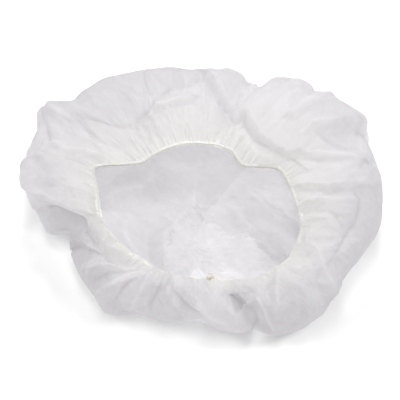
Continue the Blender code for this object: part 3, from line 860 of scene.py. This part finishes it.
def even_angles(count):
    """Angles that lie evenly spaced along the mouth's edge, and how long that edge is."""
    fine = np.linspace(0, 2 * math.pi, 1441)
    line = mouth_frame(fine)[0]
    run = np.concatenate([[0], np.linalg.norm(np.diff(line, axis=0), axis=-1).cumsum()])
    return np.interp(np.arange(count) / count * run[-1], run, fine), run[-1]


def ruffle(angle, seed):
    """The small waves that the gathered hem stands in."""
    wave = np.zeros(angle.shape)
    for count, share in RUFFLES:
        wander = RUFFLE_WANDER * noise(round_places(angle, 3, seed), seed + count)
        wave += share * np.sin(count * angle + wander)
    return wave


def make_hem():
    """The cloth's turned edge, doubled over and ruffled, with rounded long edges."""
    angle, _ = even_angles(HEM_STEPS)
    middle, run_out, facing = mouth_frame(angle)
    top = ruffle(angle, TOP_RUFFLE)
    rim = ruffle(angle, RIM_RUFFLE)
    points = []
    for across, rise in HEM_OUTLINE:
        far = abs(across) * 2
        lift = HEM_THICKNESS * rise + RUFFLE_LIFT * top * (0.5 + 0.5 * far)
        shift = HEM_WIDTH * across + RUFFLE_PUSH * rim * max(across * 2, 0) ** 2
        points.append(middle + run_out * shift[:, None] + facing * lift[:, None])
    points = np.stack(points, axis=1)
    return mesh_object("hem", points.reshape(-1, 3), tube_faces(HEM_STEPS, len(HEM_OUTLINE), True))


def make_elastic():
    """The elastic thread on the hem, drawn a little to and fro by its stitches."""
    angle, length = even_angles(ELASTIC_STEPS)
    middle, run_out, facing = mouth_frame(angle)
    sway = ELASTIC_SWAY * noise(round_places(angle, 9, 0.0), ELASTIC_SEED)
    sway += STITCH_PULL * np.sin(length / STITCH_PITCH * angle)
    wave = RUFFLE_LIFT * ruffle(angle, TOP_RUFFLE)
    seat = HEM_THICKNESS * ELASTIC_SEAT + wave * 0.5 + THREAD_DIAMETER * ELASTIC_RISE
    path = middle + run_out * sway[:, None] + facing * seat[:, None]
    return tube("elastic_thread", path, facing, round_outline(THREAD_DIAMETER, 8), True)


def make_stitches():
    """Overlock stitches: one thread that crosses the elastic to and fro, all round the mouth."""
    _, length = even_angles(1)
    steps = round(length / STITCH_PITCH) * STITCH_STEPS
    angle, _ = even_angles(steps)
    middle, run_out, facing = mouth_frame(angle)
    phase = np.arange(steps) / STITCH_STEPS * 2 * math.pi
    across = HEM_WIDTH * STITCH_SWING * np.sin(phase) + HEM_WIDTH * STITCH_CORNER * np.sin(3 * phase)
    arch = np.exp(-((across / (THREAD_DIAMETER * STITCH_SPAN)) ** 2))
    over = np.where(np.cos(phase) > 0, 1.0, WAY_BACK)
    wave = RUFFLE_LIFT * ruffle(angle, TOP_RUFFLE)
    lift = HEM_THICKNESS * STITCH_SEAT + wave * 0.7 + arch * over * THREAD_DIAMETER * STITCH_RISE
    path = middle + run_out * across[:, None] + facing * lift[:, None]
    return tube("hem_stitches", path, facing, round_outline(STITCH_THREAD, 5), True)


def make_knot():
    """The elastic's knot: a thread wound over itself, whose free tail bends up into the mouth."""
    at = np.radians([KNOT_ANGLE - 1, KNOT_ANGLE, KNOT_ANGLE + 1])
    middle, run_out, facing = mouth_frame(at)
    along = unit(middle[2] - middle[0])
    out = run_out[1]
    up = facing[1]
    start = middle[1] + up * (HEM_THICKNESS / 2 + KNOT_THREAD)
    axes = np.stack([along, out, up])
    turn = np.linspace(0, 2 * math.pi, 60, endpoint=False)
    radius = KNOT_RADIUS + KNOT_LOOP * np.cos(3 * turn)
    winding = round_places(2 * turn, radius, KNOT_RISE * np.sin(3 * turn)) * (KNOT_STRETCH, 1, 1)
    path = start + winding @ axes
    knot = tube("elastic_knot_loops", path, unit(path - start), round_outline(KNOT_THREAD, 8), True)
    rough = start + TAIL_LENGTH * np.array(TAIL_PLACES) @ axes
    fine = np.linspace(0, len(rough) - 1, 40)
    path = np.stack([np.interp(fine, np.arange(len(rough)), values) for values in rough.T], axis=-1)
    for _ in range(TAIL_SOFTENING):
        path[1:-1] = (path[:-2] + 2 * path[1:-1] + path[2:]) / 4
    side = np.repeat([along], len(path), axis=0)
    tail = tube("elastic_tail", path, side, round_outline(KNOT_THREAD * 0.8, 8), False)
    return knot, tail


def node_material(name):
    made = bpy.data.materials.new(name)
    made.use_nodes = True
    made.node_tree.nodes.clear()
    return made, made.node_tree


def add_node(tree, kind, inputs, **settings):
    """A new shader node, whose inputs by name or number get their values, or links to sockets."""
    node = tree.nodes.new("ShaderNode" + kind)
    for key, value in settings.items():
        setattr(node, key, value)
    for key, value in inputs.items():
        if isinstance(value, bpy.types.NodeSocket):
            tree.links.new(value, node.inputs[key])
        else:
            node.inputs[key].default_value = value
    return node


def attribute_node(tree, name, output):
    """What the mesh keeps under this name at each point."""
    return add_node(tree, "Attribute", {}, attribute_name=name).outputs[output]


def math_node(tree, operation, first, second):
    return add_node(tree, "Math", {0: first, 1: second}, operation=operation).outputs["Value"]


def vector_node(tree, operation, *inputs):
    return add_node(tree, "VectorMath", dict(enumerate(inputs)), operation=operation)


def between(tree, value, low, high, start=0, end=1):
    """A value in the range from start to end, moved into the range from low to high."""
    inputs = {"Value": value, "From Min": start, "From Max": end, "To Min": low, "To Max": high}
    return add_node(tree, "MapRange", inputs).outputs["Result"]


def colour_ramp(tree, value, *stops):
    """A colour that runs from one stop to the other."""
    node = add_node(tree, "ValToRGB", {"Fac": value})
    for stop, (place, colour) in zip(node.color_ramp.elements, stops):
        stop.position = place
        stop.color = (*colour, 1)
    return node.outputs["Color"]


def noise_node(tree, place, scale, detail, roughness=0.5, output="Fac"):
    inputs = {"Vector": place, "Scale": scale, "Detail": detail, "Roughness": roughness}
    return add_node(tree, "TexNoise", inputs).outputs[output]


def cells_node(tree, place, scale, output, randomness=1.0, feature="F1"):
    inputs = {"Vector": place, "Scale": scale, "Randomness": randomness}
    return add_node(tree, "TexVoronoi", inputs, voronoi_dimensions="2D", feature=feature).outputs[output]


def bump_node(tree, height, strength, distance, under=None):
    inputs = {"Height": height, "Strength": strength, "Distance": distance}
    if under is not None:
        inputs["Normal"] = under
    return add_node(tree, "Bump", inputs).outputs["Normal"]


def show(tree, kind, output, inputs):
    """Makes a material's last shader and joins it to the surface."""
    shader = add_node(tree, kind, inputs).outputs[output]
    add_node(tree, "OutputMaterial", {"Surface": shader})


def crooked(tree, place, scale, detail, shift):
    """Places that wander by up to a shift, so that the cells there get crooked edges."""
    bend = noise_node(tree, place, scale, detail, output="Color")
    return vector_node(tree, "MULTIPLY_ADD", bend, shift, place).outputs["Vector"]


def crease_lines(tree, place, scale, wander):
    """Thin crooked creases, deep in some places and run out in others, as heights from 0 to 1."""
    bent = crooked(tree, place, scale * 0.7, 2, (wander, wander, wander))
    edges = cells_node(tree, bent, scale, "Distance", feature="DISTANCE_TO_EDGE")
    line = colour_ramp(tree, edges, (0.0, BLACK), (0.10, WHITE))
    patches = noise_node(tree, place, scale * 0.5, detail=2, roughness=0.6)
    shown = colour_ramp(tree, patches, (0.42, WHITE), (0.60, BLACK))
    return math_node(tree, "MAXIMUM", line, shown)


def ply_patches(tree, place, scale):
    """Straight-edged patches, each of its own even value, as where the thin cloth lies doubled."""
    bent = crooked(tree, place, scale, 1, (0.012, 0.012, 0))
    colour = cells_node(tree, bent, scale, "Color")
    return add_node(tree, "SeparateColor", {"Color": colour}).outputs["Red"]


def cloth_bumps(tree, place):
    """The cloth's fine relief: fibres, pressed dots, streaks, creases and the crown facet's wrinkles."""
    fibres = noise_node(tree, place, scale=1400, detail=4, roughness=0.75)
    dots = cells_node(tree, place, 520, "Distance", randomness=0.12)
    pressed = colour_ramp(tree, dots, (0.18, BLACK), (0.34, WHITE))
    streak_place = attribute_node(tree, "streak_place", "Vector")
    streaks = noise_node(tree, streak_place, scale=210, detail=3, roughness=0.55)
    drawn_out = vector_node(tree, "MULTIPLY", place, (0.3, 1, 1)).outputs["Vector"]
    wrinkles = noise_node(tree, drawn_out, scale=380, detail=3, roughness=0.6)
    wrinkles = math_node(tree, "MULTIPLY", wrinkles, attribute_node(tree, "wrinkled", "Fac"))
    normal = bump_node(tree, fibres, strength=0.25, distance=0.00025)
    normal = bump_node(tree, pressed, 0.18, 0.00012, normal)
    normal = bump_node(tree, streaks, 0.8, 0.0009, normal)
    for scale, wander, depth in FINE_CREASES:
        normal = bump_node(tree, crease_lines(tree, place, scale, wander), 0.9, depth, normal)
    return bump_node(tree, wrinkles, 0.9, 0.0014, normal)


def cloth_tint(tree, place, clouds):
    """Cloudy white, with the painted light and shade kept at each point and faint plies, and creamier
    near the hem.
    """
    tint = colour_ramp(tree, clouds, (0.30, (0.858, 0.849, 0.862)), (0.72, (0.900, 0.892, 0.903)))
    # First the painted light and shade, then the faint plies
    shades = [attribute_node(tree, "painted_shading", "Fac")]
    for scale, grey, white in PLIES:
        shades.append(between(tree, ply_patches(tree, place, scale), grey, white))
    for shade in shades:
        scaled = add_node(tree, "VectorMath", {0: tint, "Scale": shade}, operation="SCALE")
        tint = scaled.outputs["Vector"]
    reach = vector_node(tree, "LENGTH", place).outputs["Value"]
    inputs = {0: between(tree, reach, 0, 1, *CREAM_REACH), 6: tint, 7: (*CREAM, 1)}
    return add_node(tree, "Mix", inputs, data_type="RGBA").outputs[2]


def nonwoven_material():
    """Thin spunbond: cloudy fibres pressed together at a grid of small dots, and light comes through."""
    made, tree = node_material("nonwoven_cloth")
    place = attribute_node(tree, "flat_place", "Vector")
    clouds = noise_node(tree, place, scale=170, detail=5, roughness=0.65)
    tint = cloth_tint(tree, place, clouds)
    normal = cloth_bumps(tree, place)
    inputs = {
        "Base Color": tint, "Normal": normal, "Roughness": 0.72, "Specular IOR Level": 0.25,
        "Sheen Weight": 0.10, "Sheen Roughness": 0.5,
    }
    skin = add_node(tree, "BsdfPrincipled", inputs).outputs["BSDF"]
    through = add_node(tree, "BsdfTranslucent", {"Color": tint, "Normal": normal}).outputs["BSDF"]
    inputs = {"Fac": between(tree, clouds, *THROUGH_SHARE), 1: skin, 2: through}
    show(tree, "MixShader", "Shader", inputs)
    return made


def edge_material(finish):
    """Hem cloth, thread and elastic: fine fibres in two close tints, and light spreads inside them."""
    made, tree = node_material(finish.name)
    place = add_node(tree, "TexCoord", {}).outputs["Object"]
    fibres = noise_node(tree, place, finish.fibres, detail=4, roughness=0.7)
    inputs = {
        "Base Color": colour_ramp(tree, fibres, (0.35, finish.dark), (0.65, finish.light)),
        "Normal": bump_node(tree, fibres, strength=0.5, distance=0.0002),
        "Roughness": finish.roughness, "Specular IOR Level": 0.3,
        "Subsurface Weight": finish.glow,
        "Subsurface Radius": (1.0, 0.95, 0.85), "Subsurface Scale": 0.002,
    }
    show(tree, "BsdfPrincipled", "BSDF", inputs)
    return made


def floor_material():
    made, tree = node_material("floor_paper")
    place = add_node(tree, "TexCoord", {}).outputs["Object"]
    grain = noise_node(tree, place, scale=60, detail=3, roughness=0.6)
    inputs = {
        "Base Color": colour_ramp(tree, grain, (0.3, (0.95, 0.95, 0.955)), (0.7, (0.97, 0.97, 0.97))),
        "Roughness": 0.9, "Specular IOR Level": 0.1,
        "Emission Color": (1, 1, 1, 1), "Emission Strength": FLOOR_GLOW,
    }
    show(tree, "BsdfPrincipled", "BSDF", inputs)
    return made


def make_floor():
    half = FLOOR_WIDTH / 2
    corners = [(-half, -half, 0), (half, -half, 0), (half, half, 0), (-half, half, 0)]
    floor = mesh_object("floor", corners, [(0, 1, 2, 3)])
    floor.data.materials.append(floor_material())
    return floor


def make_light(lamp):
    data = bpy.data.lights.new(lamp.name, "AREA")
    data.shape = "DISK"
    data.size = lamp.size
    data.energy = lamp.power
    light = bpy.data.objects.new(lamp.name, data)
    light.location = lamp.place
    light.rotation_euler = (Vector(LAMP_TARGET) - Vector(lamp.place)).to_track_quat("-Z", "Y").to_euler()
    bpy.context.scene.collection.objects.link(light)


def make_camera():
    """A camera in front of the cap and above the floor, which sees the view's width at its middle."""
    elevation = math.radians(CAMERA_ELEVATION)
    data = bpy.data.cameras.new("camera")
    data.lens = LENS
    data.sensor_width = SENSOR
    camera = bpy.data.objects.new("camera", data)
    away = Vector((0, -math.cos(elevation), math.sin(elevation)))
    camera.location = Vector(VIEW_MIDDLE) + away * (VIEW_WIDTH * LENS / SENSOR)
    camera.rotation_euler = (-away).to_track_quat("-Z", "Y").to_euler()
    bpy.context.scene.collection.objects.link(camera)
    bpy.context.scene.camera = camera


def make_world():
    world = bpy.data.worlds.new("studio")
    world.use_nodes = True
    background = world.node_tree.nodes["Background"]
    background.inputs["Color"].default_value = (1, 1, 1, 1)
    background.inputs["Strength"].default_value = SKY
    bpy.context.scene.world = world


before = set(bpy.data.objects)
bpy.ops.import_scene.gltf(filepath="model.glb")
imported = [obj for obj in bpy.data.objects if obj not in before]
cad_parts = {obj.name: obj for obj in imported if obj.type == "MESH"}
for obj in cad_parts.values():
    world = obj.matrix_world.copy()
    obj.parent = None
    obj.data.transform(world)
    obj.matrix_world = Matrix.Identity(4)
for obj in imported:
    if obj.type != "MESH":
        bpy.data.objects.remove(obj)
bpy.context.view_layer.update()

make_camera()
make_world()
for lamp in LAMPS:
    make_light(lamp)
make_floor()

cloth = make_cloth()
hem = make_hem()
elastic = make_elastic()
stitches = make_stitches()
knot, tail = make_knot()
knot_cover = edge_material(KNOT_COVER)
for piece, material in (
    (cloth, nonwoven_material()),
    (hem, edge_material(HEM_CLOTH)),
    (elastic, edge_material(ELASTIC_COVER)),
    (stitches, edge_material(STITCHING)),
    (knot, knot_cover),
    (tail, knot_cover),
):
    piece.data.materials.append(material)
    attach(piece, "root")
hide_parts("cap_cloth")
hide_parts("hem_band")
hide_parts("elastic")
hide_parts("elastic_knot")

bpy.context.scene.view_settings.view_transform = "Standard"
